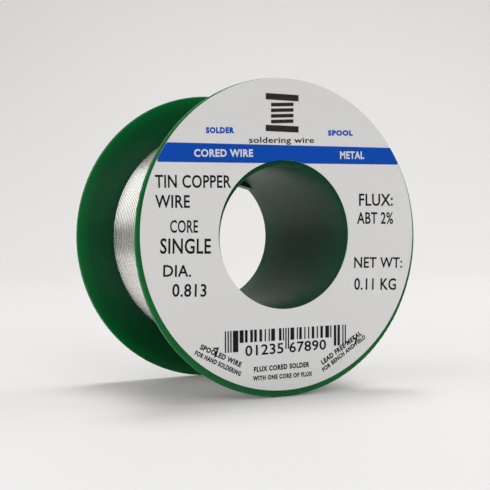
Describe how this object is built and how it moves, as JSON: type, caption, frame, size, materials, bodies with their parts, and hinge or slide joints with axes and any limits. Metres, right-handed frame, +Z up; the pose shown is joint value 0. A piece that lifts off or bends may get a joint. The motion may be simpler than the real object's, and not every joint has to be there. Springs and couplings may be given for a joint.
{
  "type": "solder wire spool",
  "caption": "Small plastic spool of solder wire, standing on its rims, with a printed ring label on the front flange and a round spindle bore.",
  "frame": {"origin": "on the spool's axis, at the middle of its width", "axes": "+Y along the spool's axis, away from the labelled face; +Z up, with the spool standing on its rims"},
  "size_m": [0.056, 0.031, 0.056],
  "materials": {
    "spool_plastic": "glossy tinted translucent moulding",
    "solder": "bright drawn tin alloy",
    "label": "satin silver label stock with printed ink"
  },
  "bodies": {
    "root": {"front_flange": "spool_plastic", "back_flange": "spool_plastic", "barrel": "spool_plastic", "solder_winding": "solder", "solder_start": "solder", "solder_end": "solder", "front_label": "label"}
  },
  "joints": []
}
